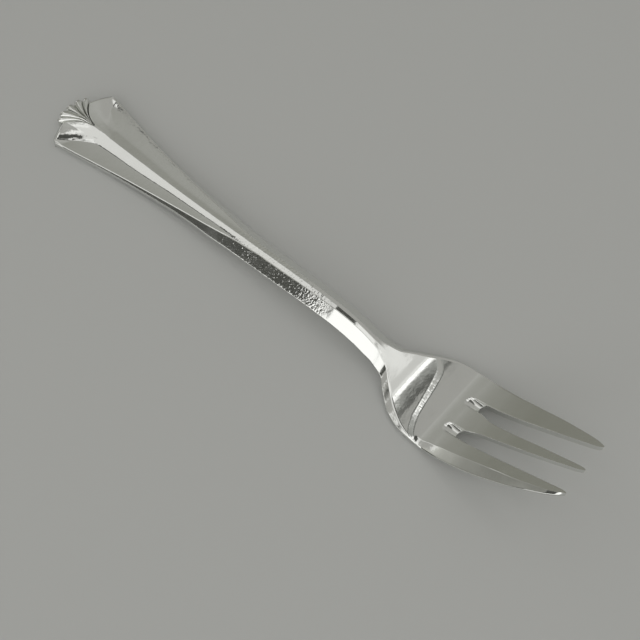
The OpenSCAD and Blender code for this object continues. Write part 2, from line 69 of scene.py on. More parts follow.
# ---------------------------------------------------------------- the blank
# The real fork is cut from sheet, rolled out, struck between dies, bent and then plated. It is
# modelled the same way: two faces shaped from flat grids, walled together along the outline and
# then parted into regions. Lengths below are millimetres from the shell's end.
HANDLE_X = 66.0
NECK_X = 97.0
PALM_X = 105.0
ROOT_X = 124.6
TIP_X = 147.4
ARCH_X = 88.0
HEEL_X = 114.0
FULL_X = 119.0
FLARE_X = 15.0
CORNER_X = 5.7
NOTCH_X = 2.9
NOTCH_W = 8.6
TAIL_X = 9.5
TAIL_HALF = 0.3
END_W = 18.9
CLOSE_W = 2.5
STEM_TOP_W = 1.6
STEM_W = 6.3
HEAD_W = 21.0
SLOT_SPACING = 7.3
SLOT_W = 2.3
TIP_SPACING = 5.95
MIDDLE_TIP_W = 0.7
OUTER_TIP_W = 0.8
BEVEL_W = 2.3
BEVEL_D = 0.75
BEVEL_X = 116.5
BEVEL_RUN = 3.5
END_H = 2.0
ARCH_H = 7.65
STEM_T = 3.1
PALM_T = 1.7
TIP_T = 1.4
TIP_RISE = 17.2
CREST_H = 0.7
PANEL_D = 0.3
PANEL_SHARE = 0.06
FILLET = 0.35
STEP_H = 0.17
STEP_X = 112.4
STEP_L = 1.6
STEP_LEAN = 0.2
STEP_BEND = 0.07
STEP_STRAIGHT = 4.5
STEP_RELAX = 7.5
DISH_D = 0.1
SLOPE_W = 2.75
SLOPE_RISE = CREST_H / SLOPE_W
RIM_W = 0.45
FACET_SLOPE = 0.94
FACET_D = 0.12
FACET_OUT = 0.08
WALL_D = 0.12
BORDER_H = 0.65
CORNER_SHARE = 0.2
BORDER_DROP = 0.25
GROOVE_X = 120.3
GROOVE_START_D = 0.25
GROOVE_D = 0.95
NOSE_L = 1.6
NOSE_BLUNT = 0.25

# Columns across half the blank: the slope's foot, the rim's foot and its top, the outer edge,
# the two sides of a slot and the top of the bevel
FOOT, RIM_FOOT, RIM_TOP, EDGE = 10.0, 12.0, 13.0, 14.0
SLOT_IN, SLOT_OUT, BEVEL_TOP = 3.0, 7.0, 11.0

TAPER = [(0, 1), (0.08, 0.905), (0.18, 0.772), (0.28, 0.643), (0.37, 0.535),
         (0.46, 0.44), (0.6, 0.305), (0.74, 0.187), (0.9, 0.047), (1, 0)]
SPREAD = [(0, 0.03), (0.27, 0.1), (0.4, 0.17), (0.57, 0.28), (0.69, 0.45), (0.79, 0.68),
          (0.95, 0.9), (1, 0.94)]
SLOPE = [(0, 1), (0.06, 0.93), (0.19, 0.85), (0.32, 0.71), (0.44, 0.57), (0.57, 0.5),
         (0.7, 0.43), (1, 0.23)]
FLARE = [(0, 0), (0.11, 0.026), (0.2, 0.097), (0.29, 0.18), (0.38, 0.354), (0.47, 0.518),
         (0.56, 0.682), (0.66, 0.82), (0.75, 0.913), (0.86, 0.972), (1, 1)]
GATHER = [(0, 1), (0.12, 0.9), (0.25, 0.74), (0.4, 0.69), (0.5, 0.66), (0.62, 0.48), (0.8, 0.2), (1, 0)]
PLAIN_EDGE = [(0, 1), (0.1, 0.967), (0.21, 0.9), (0.35, 0.813), (0.46, 0.747), (0.56, 0.648),
              (0.67, 0.538), (0.77, 0.396), (0.88, 0.23), (1, 0)]
BEVEL_EDGE = [(0, 1), (0.1, 1), (0.21, 0.967), (0.35, 0.912), (0.46, 0.846), (0.56, 0.758),
              (0.67, 0.648), (0.77, 0.484), (0.88, 0.297), (1, 0)]
MIDDLE_EDGE = [(0, 1), (0.13, 0.62), (0.28, 0.5), (0.41, 0.43), (0.58, 0.34), (0.74, 0.22), (1, 0)]
BEVEL_SHARES = [(0, 0.3), (0.06, 0.45), (0.13, 0.72), (0.22, 0.9), (0.33, 0.98), (0.45, 1),
                (0.58, 0.9), (0.68, 0.72), (0.8, 0.48), (0.9, 0.28), (1, 0.15)]
RISE = [(0, 0), (0.15, 0.044), (0.28, 0.106), (0.42, 0.22), (0.56, 0.39), (0.69, 0.575),
        (0.81, 0.77), (0.92, 0.938), (1, 1)]
UNDER_RISE = [(0, 0), (0.2, 0), (0.3, 0.085), (0.42, 0.2), (0.56, 0.38), (0.69, 0.57),
              (0.81, 0.75), (0.92, 0.93), (1, 1)]
FALL = [(0, 0), (0.13, 0.035), (0.25, 0.122), (0.35, 0.262), (0.48, 0.455), (0.59, 0.62),
        (0.7, 0.79), (0.79, 0.93), (0.83, 0.955), (0.94, 0.993), (1, 1)]
TINE_RISE = [(0, 0), (0.09, 0), (0.22, 0.058), (0.36, 0.17), (0.52, 0.35), (0.66, 0.535),
             (0.82, 0.753), (1, 1)]
CORNER = [(0, 0), (0.33, 0.2), (0.7, 0.54), (0.89, 0.76), (0.94, 0.85), (0.97, 0.91),
          (0.99, 0.96), (1, 1.06)]


def lerp(a, b, t):
    return a + (b - a) * t


def clamp(t):
    return min(1.0, max(0.0, t))


def ease(t):
    t = clamp(t)
    return t * t * (3 - 2 * t)


def curve(table, x):
    """Smooth curve through the points of a table, with no overshoot."""
    if x <= table[0][0]:
        return table[0][1]
    if x >= table[-1][0]:
        return table[-1][1]
    i = max(k for k in range(len(table) - 1) if table[k][0] <= x)

    def slope(k):
        return (table[k + 1][1] - table[k][1]) / (table[k + 1][0] - table[k][0])

    def tangent(k):
        if k == 0:
            return slope(0)
        if k == len(table) - 1:
            return slope(k - 1)
        a, b = slope(k - 1), slope(k)
        return 0.0 if a * b <= 0 else 2 * a * b / (a + b)

    w = table[i + 1][0] - table[i][0]
    u = (x - table[i][0]) / w
    return (table[i][1] * (1 + 2 * u) * (1 - u) ** 2 + tangent(i) * w * u * (1 - u) ** 2
            + table[i + 1][1] * u * u * (3 - 2 * u) - tangent(i + 1) * w * u * u * (1 - u))


def top_z(x):
    if x <= ARCH_X:
        return lerp(END_H, ARCH_H, curve(RISE, x / ARCH_X))
    if x <= HEEL_X:
        return lerp(ARCH_H, PALM_T, curve(FALL, (x - ARCH_X) / (HEEL_X - ARCH_X)))
    return PALM_T + TIP_RISE * curve(TINE_RISE, (x - HEEL_X) / (TIP_X - HEEL_X))


def under_z(x):
    if x <= ARCH_X:
        return (ARCH_H - STEM_T) * curve(UNDER_RISE, x / ARCH_X)
    if x <= HEEL_X:
        return (ARCH_H - STEM_T) * (1 - curve(FALL, (x - ARCH_X) / (HEEL_X - ARCH_X)))
    return top_z(x) - lerp(PALM_T, TIP_T, (x - HEEL_X) / (TIP_X - HEEL_X))


def handle_share(x):
    return clamp((x - CORNER_X) / (HANDLE_X - CORNER_X))


def shoulder_share(x):
    return clamp((x - NECK_X) / (FULL_X - NECK_X))


def tine_share(x):
    return clamp((x - ROOT_X) / (TIP_X - ROOT_X))


def edge_y(x, side):
    if x <= HANDLE_X:
        return lerp(CLOSE_W, END_W, curve(TAPER, handle_share(x))) / 2
    if x <= NECK_X:
        return lerp(CLOSE_W, STEM_TOP_W, ease((x - HANDLE_X) / (NECK_X - HANDLE_X))) / 2
    if x <= FULL_X:
        return lerp(STEM_TOP_W, HEAD_W, curve(FLARE, shoulder_share(x))) / 2
    table = PLAIN_EDGE if side > 0 else BEVEL_EDGE
    past = clamp((x - FULL_X) / (TIP_X - FULL_X))
    return lerp(TIP_SPACING + OUTER_TIP_W / 2, HEAD_W / 2, curve(table, past))


def spread(x):
    if x <= HANDLE_X:
        share = curve(SPREAD, handle_share(x))
    elif x <= NECK_X:
        share = lerp(SPREAD[-1][1], 1, (x - HANDLE_X) / (NECK_X - HANDLE_X))
    else:
        share = curve(GATHER, shoulder_share(x))
    return (STEM_W - STEM_TOP_W) / 2 * share


def slender(x):
    return ease((x - HANDLE_X / 2) / (HANDLE_X / 2)) if x <= NECK_X else 1 - ease(shoulder_share(x))


def side_depth(x):
    return lerp(1.5 if x <= NECK_X else 1.25, 2.2, slender(x))


def edge_lift(x):
    return lerp(0.15 if x <= NECK_X else 0.2, 0.55, slender(x))


def under_lift(x, share):
    flat = lerp(0.75, 0.2, slender(x))
    return edge_lift(x) * clamp((share - flat) / (1 - flat)) ** 2


def under_half(x, side):
    return edge_y(x, side) + spread(x) - lerp(0.35, 0.15, ease(shoulder_share(x)))


def slot_in_y(x):
    return lerp(MIDDLE_TIP_W / 2, (SLOT_SPACING - SLOT_W) / 2, curve(MIDDLE_EDGE, tine_share(x)))


def slot_out_y(x):
    return lerp((SLOT_SPACING + SLOT_W) / 2, TIP_SPACING - OUTER_TIP_W / 2, tine_share(x) ** 1.5)


def slot_depth(j):
    across = clamp((j - SLOT_IN) / (SLOT_OUT - SLOT_IN)) * 2 - 1
    return math.sqrt(1 - across ** 2)


def bevel_y(x):
    return BEVEL_W * curve(BEVEL_SHARES, clamp((x - BEVEL_X) / (TIP_X - BEVEL_X)))


def bevel_drop(x):
    return BEVEL_D * ease((x - BEVEL_X) / BEVEL_RUN) * lerp(1, 0.6, ease((tine_share(x) - 0.7) / 0.3))


BEVEL_STEPS = [(11, 1), (12, 0.5), (13, 0.1), (14, 0)]


def straight(table, x):
    for (x0, y0), (x1, y1) in zip(table, table[1:]):
        if x <= x1:
            return lerp(y0, y1, (x - x0) / (x1 - x0))
    return table[-1][1]


def head_y(x, j, side):
    edge = edge_y(x, side)
    b = min(bevel_y(x), edge - slot_out_y(x) - RIM_W)
    if j <= SLOT_IN:
        return slot_in_y(x) * j / SLOT_IN
    if j <= SLOT_OUT:
        return lerp(slot_in_y(x), slot_out_y(x), (j - SLOT_IN) / (SLOT_OUT - SLOT_IN))
    if j <= BEVEL_TOP:
        return lerp(slot_out_y(x), edge - b, (j - SLOT_OUT) / (BEVEL_TOP - SLOT_OUT))
    return edge - b * straight(BEVEL_STEPS, j)


def foot_y(x):
    if x <= HANDLE_X:
        return SLOPE_W * curve(SLOPE, (x - FLARE_X) / (HANDLE_X - FLARE_X))
    return lerp(SLOPE_W * SLOPE[-1][1], STEM_TOP_W / 4, ease((x - HANDLE_X) / (NECK_X - HANDLE_X)))


def rim_in_y(x):
    return edge_y(x, 1) - min(RIM_W, edge_y(x, 1) * 0.3)


def handle_y(x, j):
    if j <= FOOT:
        return foot_y(x) * j / FOOT
    if j <= RIM_FOOT:
        return lerp(foot_y(x), rim_in_y(x), (j - FOOT) / (RIM_FOOT - FOOT))
    return lerp(rim_in_y(x), edge_y(x, 1), straight([(12, 0), (13, 0.45), (14, 1)], j))


def column_y(x, j, side):
    t = ease((x - NECK_X) / (FULL_X - NECK_X))
    if t <= 0:
        return handle_y(x, j)
    if t >= 1:
        return head_y(x, j, side)
    return edge_y(x, side) * lerp(handle_y(NECK_X, j) / edge_y(NECK_X, side),
                                  head_y(FULL_X, j, side) / edge_y(FULL_X, side), t)


def soft_abs(y):
    return math.sqrt(y * y + 0.0025) - 0.05


def roof_relief(x, j):
    """Ridge of the stem: both halves of its top slope down to the edges."""
    return SLOPE_RISE * (edge_y(x, 1) - soft_abs(handle_y(x, j)))


def panel_relief(x, j):
    """Spine with a filleted foot, then a panel that rises a little again to the rim."""
    y, foot, edge = soft_abs(handle_y(x, j)), foot_y(x), edge_y(x, 1)
    depth = min(PANEL_D, PANEL_SHARE * (edge - foot))
    fillet = min(FILLET, foot / 3)
    slope = SLOPE_RISE * max(0.0, foot - y)
    if abs(y - foot) < fillet:
        slope = SLOPE_RISE * (foot + fillet - y) ** 2 / (4 * fillet)
    return slope - depth * (1 - clamp((y - foot) / (edge - foot)) ** 2)


def handle_relief(x, j):
    closing = ease((HANDLE_X - x) / (HANDLE_X * 0.25))
    if closing <= 0:
        return roof_relief(x, j)
    return lerp(roof_relief(x, j), panel_relief(x, j), closing)


def edge_round(x, j, side):
    """Drop of the top near its outer edge, which polishing has worn to a narrow slope."""
    span = edge_y(x, side) - column_y(x, 13, side)
    s = clamp(j - 13)
    return 0.42 * span * s * s / (s + 0.12)


def shoulder_relief(x, j, side):
    t = shoulder_share(x)
    ridge = roof_relief(NECK_X, j) * (1 - ease(t * 3))
    bowl = DISH_D * (column_y(x, j, side) / edge_y(x, side)) ** 2
    bowl *= ease(t * 3) * (1 - ease(t * 1.6 - 0.6))
    return ridge + bowl + STEP_H * ease(t * 2.5)


def bevel_relief(x, j, side):
    if side > 0 or j <= BEVEL_TOP:
        return 0.0
    return -bevel_drop(x) * straight([(11, 0), (12, 0.5), (13, 0.9), (14, 1)], j)


def bezier(a, b, c, t):
    return a * (1 - t) ** 2 + b * 2 * t * (1 - t) + c * t * t


def end_point(j):
    """Plan point of the handle's end outline: the shell's bay, the notch, the end edge, the corner."""
    if j <= 1:
        return Vector((TAIL_X, TAIL_HALF * j))
    if j <= 7:
        t = (7 - j) / 6
        return bezier(Vector((NOTCH_X, NOTCH_W / 2)), Vector((lerp(NOTCH_X, TAIL_X, 0.36), NOTCH_W * 0.1)),
                      Vector((TAIL_X, TAIL_HALF)), t)
    across = straight([(7 + k, c[0]) for k, c in enumerate(CORNER)], j)
    back = straight([(7 + k, c[1]) for k, c in enumerate(CORNER)], j)
    return Vector((lerp(NOTCH_X, CORNER_X, back), lerp(NOTCH_W / 2, END_W / 2, across)))


def flare_place(j, t):
    p = end_point(j)
    y = handle_y(FLARE_X, j)
    if j <= FOOT:
        return bezier(p, Vector((lerp(p.x, FLARE_X, 0.72), y)), Vector((FLARE_X, y)), t)
    if j < RIM_FOOT:
        return flare_place(FOOT, t).lerp(flare_place(RIM_FOOT, t), (j - FOOT) / (RIM_FOOT - FOOT))
    x = lerp(p.x, FLARE_X, t)
    start = edge_y(p.x, 1) - p.y
    return Vector((x, edge_y(x, 1) - lerp(start, edge_y(FLARE_X, 1) - y, clamp(t / 0.12))))


def flare_relief(j, t):
    """The border rises from the outline, and its inner slope is a cove down to the spine's foot line."""
    run = lerp(0.95, 0.2, min(1.0, j / FOOT) ** 3)
    up = ease(t / 0.045)
    down = clamp((t - 0.05) / run)
    down = 1 - (1 - down) ** 1.2
    crest = BORDER_H * lerp(1, CORNER_SHARE, ease((j - 7) / 4)) * (1 - ease((j - RIM_FOOT) / 2))
    return lerp(-BORDER_DROP, lerp(crest, panel_relief(FLARE_X, j), down), up) - edge_round(FLARE_X, j, 1)


class Section:
    """Place of a column of the blank: the flare's sections are curved, the others are straight."""

    def __init__(self, x=None, t=None):
        self.x = x
        self.t = t

    def top(self, j, side):
        if self.t is not None:
            p = flare_place(j, self.t)
            return Vector((p.x, side * p.y, top_z(p.x) + flare_relief(j, self.t)))
        x = self.x
        place = self.leaned(j, side)
        if x <= NECK_X:
            z = handle_relief(x, j)
        elif x <= ROOT_X:
            z = shoulder_relief(place, j, side) + bevel_relief(place, j, side)
            z += self.step() + self.groove(j)
        else:
            z = bevel_relief(x, j, side)
        z += top_z(place) - edge_round(place, j, side)
        return Vector((place, side * column_y(place, j, side), z))

    def under(self, j, side):
        if self.t is not None:
            p = flare_place(j, self.t)
            if self.t <= 0:
                return Vector((p.x, side * p.y, under_z(p.x) + 0.15))
            share = p.y / edge_y(p.x, 1)
            return Vector((p.x, side * share * under_half(p.x, 1), under_z(p.x) + under_lift(p.x, share)))
        place = self.leaned(j, side)
        share = column_y(place, j, side) / edge_y(place, side)
        z = under_z(place) + under_lift(place, share)
        return Vector((place, side * share * under_half(place, side), z))

    def wall(self, side, w):
        """Side of the section: a facet down from the rim, an upright wall, and round to the lower edge."""
        top = self.top(EDGE, side)
        x = top.x
        y = abs(top.y) + max(FACET_OUT, spread(x))
        drop = min(side_depth(x), max(FACET_D, FACET_SLOPE * spread(x)))
        facet = Vector((x, side * y, min(top_z(x), top.z) - drop))
        turn_z = min(facet.z - WALL_D, max(top_z(x) - side_depth(x), under_z(x) + edge_lift(x)))
        turn = Vector((x, side * y, turn_z))
        low = facet.lerp(turn, 0.8)
        high = top.lerp(facet, 0.85)
        if w <= 0.35:
            return top.lerp(high, w / 0.35)
        if w <= 0.7:
            return bezier(high, facet, low, (w - 0.35) / 0.35)
        return bezier(low, turn, self.under(EDGE, side), (w - 0.7) / 0.3)

    def leaned(self, j, side):
        """Rows of the palm lean along the step, and draw back round the slots' ends."""
        x = self.x
        if x <= PALM_X or x > ROOT_X:
            return x
        past = x - STEP_X
        lean = ease(past / (STEP_X - PALM_X) + 1) * (1 - ease((past - STEP_L) / STEP_RELAX))
        y = column_y(x, j, side)
        line = STEP_LEAN * y + STEP_BEND * max(0.0, y - STEP_STRAIGHT) ** 2
        notch = SLOT_W / 2 * slot_depth(j) * ease((x - FULL_X) / (ROOT_X - FULL_X))
        return x - side * lean * line - notch

    def step(self):
        return -STEP_H * ease((self.x - STEP_X) / STEP_L)

    def groove(self, j):
        if not SLOT_IN < j < SLOT_OUT or self.x <= GROOVE_X:
            return 0.0
        across = (j - SLOT_IN) / (SLOT_OUT - SLOT_IN) * 2 - 1
        back = max(0.0, (GROOVE_X + SLOT_W / 2 - self.x) / (SLOT_W / 2))
        depth = lerp(GROOVE_START_D, GROOVE_D, (self.x - GROOVE_X) / (ROOT_X - GROOVE_X))
        return -depth * math.sqrt(max(0.0, 1 - across ** 2 - back ** 2))


def gathered(p, tip_y):
    """Columns draw in to the tip round the nose of a tine."""
    past = max(0.0, p.x - (TIP_X - NOSE_L)) / NOSE_L
    share = max(NOSE_BLUNT, math.sqrt(max(0.0, 1 - past * past)))
    return Vector((p.x, lerp(tip_y, p.y, share), p.z))


def spaced(start, end, step):
    n = max(1, round((end - start) / step))
    return [lerp(start, end, k / n) for k in range(n + 1)]


HALF_COLUMNS = [0, 0.12, 0.35, 0.7, 1.2, 1.8, 2.4, 2.8, 3, 3.06, 3.25, 3.6, 4, 4.5, 5, 5.5, 6,
                6.4, 6.75, 6.94, 7, 7.3, 7.8, 8.4, 9, 9.25, 9.5, 9.75, 10, 10.03, 10.06, 10.1,
                10.3, 10.6, 10.9, 11, 11.1, 11.4, 11.7, 12, 12.3, 12.7, 13, 13.25, 13.4, 13.5,
                13.62, 13.75, 13.88, 14]
WALL_STEPS = [0, 0.012, 0.05, 0.15, 0.25, 0.32, 0.35, 0.4, 0.45, 0.5, 0.55, 0.6, 0.65, 0.7,
              0.74, 0.78, 0.82, 0.86, 0.9, 0.94, 0.97, 1]

flare_rows = [Section(t=t) for t in
              [0, 0.012, 0.025, 0.037, 0.05, 0.065, 0.085, 0.11, 0.14, 0.18] + spaced(0.22, 1, 0.03)]
flare_rows += [Section(x=x) for x in spaced(FLARE_X, HANDLE_X, 0.5)[1:]]
flare_rows += [Section(x=x) for x in spaced(HANDLE_X, NECK_X, 0.4)[1:]]
flare_rows += [Section(x=x) for x in spaced(NECK_X, PALM_X, 0.2)[1:]]
flare_rows += [Section(x=x) for x in spaced(PALM_X, ROOT_X, 0.15)[1:]]
tine_rows = [Section(x=ROOT_X)] + [Section(x=x) for x in spaced(ROOT_X, TIP_X - NOSE_L, 0.3)[1:]]
tine_rows += [Section(x=TIP_X - NOSE_L * (1 - math.sin(k * math.pi / 16))) for k in range(1, 9)]


def sheet(bm, columns, rows, place):
    """A grid of columns by rows, every vertex moved to place(column, row)."""
    made = bmesh.ops.create_grid(bm, x_segments=columns - 1, y_segments=rows - 1, size=1.0)["verts"]
    for v in made:
        i = round((v.co.x + 1) / 2 * (columns - 1))
        k = round((v.co.y + 1) / 2 * (rows - 1))
        v.co = place(i, k) * MM
    return made


def build_blank():
    bm = bmesh.new()
    both = [(-1, j) for j in reversed(HALF_COLUMNS[1:])] + [(1, j) for j in HALF_COLUMNS]
    n, rows = len(both), len(flare_rows)
    steps = len(WALL_STEPS)
    sheet(bm, n, rows, lambda i, k: flare_rows[k].top(both[i][1], both[i][0]))
    sheet(bm, n, rows, lambda i, k: flare_rows[k].under(both[i][1], both[i][0]))
    for side in (-1, 1):
        sheet(bm, rows, steps, lambda k, w, s=side: flare_rows[k].wall(s, WALL_STEPS[w]))
    # wall of the handle's end, straight from the top face down to the underside; its outer columns take
    # the side walls' profile
    first, last = flare_rows[0], flare_rows[-1]

    def end_wall(i, w):
        side, j = both[i]
        if j == EDGE:
            return first.wall(side, WALL_STEPS[w])
        return first.top(j, side).lerp(first.under(j, side), WALL_STEPS[w])

    sheet(bm, n, steps, end_wall)
    for side in (-1, 1):
        slot = [j for j in HALF_COLUMNS if SLOT_IN <= j <= SLOT_OUT]
        sheet(bm, len(slot), steps, lambda i, w, s=side: last.top(slot[i], s).lerp(
            last.under(slot[i], s), WALL_STEPS[w]))
    # tines
    outer = [j for j in HALF_COLUMNS if j >= SLOT_OUT]
    inner = [(-1, j) for j in reversed(HALF_COLUMNS) if 0 < j <= SLOT_IN]
    inner += [(1, j) for j in HALF_COLUMNS if j <= SLOT_IN]
    m = len(tine_rows)
    for side in (-1, 1):
        tip = side * TIP_SPACING
        sheet(bm, len(outer), m, lambda i, k, s=side, y=tip: gathered(tine_rows[k].top(outer[i], s), y))
        sheet(bm, len(outer), m, lambda i, k, s=side, y=tip: gathered(tine_rows[k].under(outer[i], s), y))

        def outer_wall(k, w, s=side, y=tip):
            return gathered(tine_rows[k].wall(s, WALL_STEPS[w]), y)

        def inner_wall(k, w, s=side, y=tip):
            row = tine_rows[k]
            return gathered(row.top(SLOT_OUT, s).lerp(row.under(SLOT_OUT, s), WALL_STEPS[w]), y)

        def nose(i, w, s=side, y=tip):
            row = tine_rows[-1]
            if outer[i] == EDGE:
                return outer_wall(m - 1, w, s, y)
            return gathered(row.top(outer[i], s).lerp(row.under(outer[i], s), WALL_STEPS[w]), y)

        sheet(bm, m, steps, outer_wall)
        sheet(bm, m, steps, inner_wall)
        sheet(bm, len(outer), steps, nose)
    sheet(bm, len(inner), m, lambda i, k: gathered(tine_rows[k].top(inner[i][1], inner[i][0]), 0.0))
    sheet(bm, len(inner), m, lambda i, k: gathered(tine_rows[k].under(inner[i][1], inner[i][0]), 0.0))
    for side in (-1, 1):
        sheet(bm, m, steps, lambda k, w, s=side: gathered(
            tine_rows[k].top(SLOT_IN, s).lerp(tine_rows[k].under(SLOT_IN, s), WALL_STEPS[w]), 0.0))
    end = tine_rows[-1]
    sheet(bm, len(inner), steps, lambda i, w: gathered(
        end.top(inner[i][1], inner[i][0]).lerp(end.under(inner[i][1], inner[i][0]), WALL_STEPS[w]), 0.0))
    bmesh.ops.remove_doubles(bm, verts=bm.verts, dist=0.0015 * MM)
    bmesh.ops.recalc_face_normals(bm, faces=bm.faces)
    bmesh.ops.translate(bm, verts=bm.verts, vec=(-TIP_X / 2 * MM, 0, 0))
    bm.normal_update()
    return bm


blank = build_blank()
open_edges = sum(1 for e in blank.edges if len(e.link_faces) != 2)
print("blank:", len(blank.verts), "vertices,", len(blank.faces), "faces,", open_edges, "open edges")
for layer_name in ("nx", "ny", "nz"):
    blank.verts.layers.float.new(layer_name)
layers = [blank.verts.layers.float[name] for name in ("nx", "ny", "nz")]
for v in blank.verts:
    for layer, value in zip(layers, v.normal):
        v[layer] = value


def linear(hex_colour):
    """sRGB hex to linear RGBA."""
    parts = [int(hex_colour[i:i + 2], 16) / 255 for i in (1, 3, 5)]
    return tuple(c / 12.92 if c <= 0.04045 else ((c + 0.055) / 1.055) ** 2.4 for c in parts) + (1.0,)


def node(tree, kind, links=None, **values):
    """Adds a node, sets its inputs and properties by name, and links its inputs."""
    made = tree.nodes.new(kind)
    for name, value in values.items():
        made_name = name.replace("_", " ")
        if hasattr(made, name):
            setattr(made, name, value)
        else:
            made.inputs[made_name].default_value = value
    for name, source in (links or {}).items():
        tree.links.new(source, made.inputs[name])
    return made


# Electroplated silver, machine polished and worn by use. To the eye: a bright neutral mirror that
# shows the room, clouded in patches of fine scratches about 4 mm wide, wavering a little over the
# 2.5 mm dents of the polishing wheel, and speckled on the stem by pits half a millimetre wide,
# which are drawn a little coarser than real ones so that they show.
def silver_plate():
    """Polished silver plate with handling wear, a wavering polish and a pitted stem."""
    material = bpy.data.materials.new("silver plate, polished")
    material.use_nodes = True
    tree = material.node_tree
    tree.nodes.clear()
    place = node(tree, "ShaderNodeTexCoord").outputs["Object"]
    wear = node(tree, "ShaderNodeTexNoise", {"Vector": place},
                Scale=1 / (4 * MM), Detail=6.0, Roughness=0.6)
    rough = node(tree, "ShaderNodeMapRange", {"Value": wear.outputs["Fac"]})
    rough.inputs["From Min"].default_value = 0.3
    rough.inputs["From Max"].default_value = 0.75
    rough.inputs["To Min"].default_value = 0.06
    rough.inputs["To Max"].default_value = 0.17
    fine = node(tree, "ShaderNodeTexNoise", {"Vector": place},
                Scale=1 / (0.5 * MM), Detail=1.0, Roughness=0.5)
    along = node(tree, "ShaderNodeSeparateXYZ", {"Vector": place}).outputs["X"]
    pits = node(tree, "ShaderNodeMapRange", {"Value": along}, interpolation_type="SMOOTHSTEP")
    pits.inputs["From Min"].default_value = -21 * MM
    pits.inputs["From Max"].default_value = -8 * MM
    pits.inputs["To Min"].default_value = 0.12
    pits.inputs["To Max"].default_value = 0.6
    calm = node(tree, "ShaderNodeMapRange", {"Value": along}, interpolation_type="SMOOTHSTEP")
    calm.inputs["From Min"].default_value = 9 * MM
    calm.inputs["From Max"].default_value = 13 * MM
    calm.inputs["To Min"].default_value = 1.0
    calm.inputs["To Max"].default_value = 0.12
    pitted = node(tree, "ShaderNodeMath", operation="MULTIPLY")
    tree.links.new(pits.outputs["Result"], pitted.inputs[0])
    tree.links.new(calm.outputs["Result"], pitted.inputs[1])
    waves = node(tree, "ShaderNodeTexNoise", {"Vector": place}, Scale=1 / (2.5 * MM), Detail=1.0)
    hand = node(tree, "ShaderNodeBump", {"Height": waves.outputs["Fac"]},
                Strength=1.0, Distance=0.025 * MM)
    bump = node(tree, "ShaderNodeBump", {"Height": fine.outputs["Fac"],
                                         "Strength": pitted.outputs["Value"],
                                         "Normal": hand.outputs["Normal"]}, Distance=0.1 * MM)
    shader = node(tree, "ShaderNodeBsdfPrincipled",
                  {"Roughness": rough.outputs["Result"], "Normal": bump.outputs["Normal"]}, Metallic=1.0)
    shader.inputs["Base Color"].default_value = linear("#E7E8E5")
    node(tree, "ShaderNodeOutputMaterial", {"Surface": shader.outputs["BSDF"]})
    return material


silver = silver_plate()


def finish_piece(bm, name, normals):
    """Turns a bmesh into the object of one region, with the blank's own normals on its shaped faces."""
    mesh = bpy.data.meshes.new(name)
    caps = {f.index for f in bm.faces if f.tag}
    bm.to_mesh(mesh)
    bm.free()
    mesh.shade_smooth()
    if normals:
        values = []
        for polygon in mesh.polygons:
            for k in polygon.vertices:
                values.append(polygon.normal.copy() if polygon.index in caps else normals[k])
        mesh.normals_split_custom_set(values)
    piece = bpy.data.objects.new(name, mesh)
    bpy.context.scene.collection.objects.link(piece)
    mesh.materials.append(silver)
    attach(piece, "root")
    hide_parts(name)
    return piece


def region(name, low_x=None, high_x=None, low_y=None, high_y=None):
    """One region of the blank, cut out by flat planes (mm from the shell's end) and closed where cut."""
    bm = blank.copy()
    cuts = [(low_x, Vector((-1, 0, 0)), TIP_X / 2), (high_x, Vector((1, 0, 0)), TIP_X / 2),
            (low_y, Vector((0, -1, 0)), 0.0), (high_y, Vector((0, 1, 0)), 0.0)]
    for value, away, shift in cuts:
        if value is None:
            continue
        point = Vector((abs(away.x), abs(away.y), 0)) * (value - shift) * MM
        bmesh.ops.bisect_plane(bm, geom=bm.verts[:] + bm.edges[:] + bm.faces[:], dist=1e-9,
                               plane_co=point, plane_no=away, clear_outer=True)
    for f in bm.faces:
        f.tag = False
    rim = [e for e in bm.edges if e.is_boundary]
    for f in bmesh.ops.holes_fill(bm, edges=rim, sides=0)["faces"]:
        f.tag = True
    bm.verts.index_update()
    bm.faces.index_update()
    kept = [bm.verts.layers.float[key] for key in ("nx", "ny", "nz")]
    normals = [Vector([v[layer] for layer in kept]).normalized() for v in bm.verts]
    return finish_piece(bm, name, normals)


# ---------------------------------------------------------------- handle
# The wide, coffin-ended part that is held: struck with a raised spine, sunk side panels,
# raised rims and a border round its end. Silver plate over nickel silver.
region("handle", high_x=HANDLE_X)

# ---------------------------------------------------------------- stem
# Slender part between handle and head, forged with a ridged top, sloping sides and a round belly.
region("stem", low_x=HANDLE_X, high_x=NECK_X)

# ---------------------------------------------------------------- shoulder
# Where the stem dips and is rolled out into the head.
region("shoulder", low_x=NECK_X, high_x=PALM_X)

# ---------------------------------------------------------------- palm
# Flat of the head behind the tines, with a faint step across it and the slots' lead-in grooves.
region("palm", low_x=PALM_X, high_x=ROOT_X)

# ---------------------------------------------------------------- tines
# Three prongs pierced out of the head. The right one is wider and bevelled, to cut with.
SLOT_Y = SLOT_SPACING / 2
region("left_tine", low_x=ROOT_X, low_y=SLOT_Y)
region("middle_tine", low_x=ROOT_X, low_y=-SLOT_Y, high_y=SLOT_Y)
region("right_tine", low_x=ROOT_X, high_y=-SLOT_Y)

# ---------------------------------------------------------------- shell
# Scallop of five ribs on the handle's end, struck in high relief, drawn together in a short tail.
LOBES = 5
LOBE_BULGE = 0.95
RIB_H = 1.0


def lobe_at(a):
    u = (a + 1) / 2 * LOBES
    return (u - math.floor(min(u, LOBES - 0.001))) * 2 - 1


def lobe_arc(a):
    return math.sqrt(max(0.0, 1 - lobe_at(a) ** 2))


